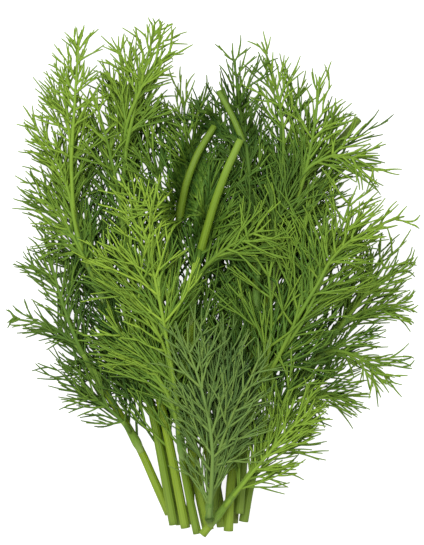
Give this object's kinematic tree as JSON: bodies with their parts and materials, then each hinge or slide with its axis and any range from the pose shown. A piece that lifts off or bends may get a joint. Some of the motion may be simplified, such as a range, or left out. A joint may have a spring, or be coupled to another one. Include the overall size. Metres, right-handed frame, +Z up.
{
  "type": "bunch of dill",
  "caption": "Loose bunch of fresh dill lying flat: thin ridged stalks gathered at their cut feet fan out into overlapping feathery, thread-leaved fronds.",
  "frame": {"origin": "on the surface that the bunch lies on, under the middle of its bounding box", "axes": "+Y runs from the cut feet of the stems to the leaf tips, +X across the bunch to the right as seen from above with the tips away, +Z up from the surface"},
  "size_m": [0.1762, 0.2192, 0.0305],
  "materials": {
    "bright_stem": "fresh yellow-green stalk, finely ridged, satin",
    "green_stem": "mid-green stalk, finely ridged, satin",
    "olive_stem": "olive-green stalk with a brown tinge, finely ridged, satin",
    "bright_leaf": "yellow-green feathery leaf, satin",
    "green_leaf": "mid-green feathery leaf, satin",
    "dark_leaf": "deep green feathery leaf, satin",
    "blue_leaf": "blue-green feathery leaf with a dull bloom"
  },
  "bodies": {
    "root": {"under_stem": "olive_stem", "under_frond_1": "dark_leaf", "under_frond_2": "dark_leaf", "mid_left_stem": "green_stem", "mid_left_frond_1": "dark_leaf", "mid_left_frond_2": "dark_leaf", "outer_left_stem": "bright_stem", "outer_left_frond_1": "dark_leaf", "outer_left_frond_2": "dark_leaf", "outer_left_frond_3": "dark_leaf", "tall_left_stem": "green_stem", "tall_left_frond_1": "green_leaf", "tall_left_frond_2": "green_leaf", "tall_left_frond_3": "green_leaf", "tall_left_frond_4": "green_leaf", "top_left_stem": "bright_stem", "top_left_frond_1": "green_leaf", "top_left_frond_2": "green_leaf", "top_left_frond_3": "green_leaf", "top_left_frond_4": "green_leaf", "inner_cut_stem": "bright_stem", "inner_cut_frond_1": "green_leaf", "inner_cut_frond_2": "green_leaf", "blade_stem": "green_stem", "blade_frond_1": "green_leaf", "blade_frond_2": "green_leaf", "blade_frond_3": "green_leaf", "long_right_stem": "olive_stem", "long_right_frond_1": "green_leaf", "long_right_frond_2": "green_leaf", "long_right_frond_3": "green_leaf", "outer_right_stem": "green_stem", "outer_right_frond_1": "green_leaf", "outer_right_frond_2": "green_leaf", "outer_right_frond_3": "green_leaf", "outer_right_frond_4": "green_leaf", "dark_cut_stem": "green_stem", "dark_cut_frond_1": "dark_leaf", "dark_cut_frond_2": "dark_leaf", "dark_cut_frond_3": "dark_leaf", "fan_right_stem": "bright_stem", "fan_right_frond_1": "green_leaf", "fan_right_frond_2": "green_leaf", "fan_right_frond_3": "green_leaf", "fan_right_frond_4": "green_leaf", "pale_cut_stem": "bright_stem", "pale_cut_frond_1": "green_leaf", "pale_cut_frond_2": "green_leaf", "pale_cut_frond_3": "green_leaf", "bright_left_stem": "green_stem", "bright_left_frond_1": "bright_leaf", "bright_left_frond_2": "bright_leaf", "bright_left_frond_3": "bright_leaf", "low_right_stem": "bright_stem", "low_right_frond_1": "green_leaf", "low_right_frond_2": "green_leaf", "front_stem": "green_stem", "front_frond_1": "blue_leaf", "front_frond_2": "blue_leaf", "front_frond_3": "blue_leaf"}
  },
  "joints": []
}
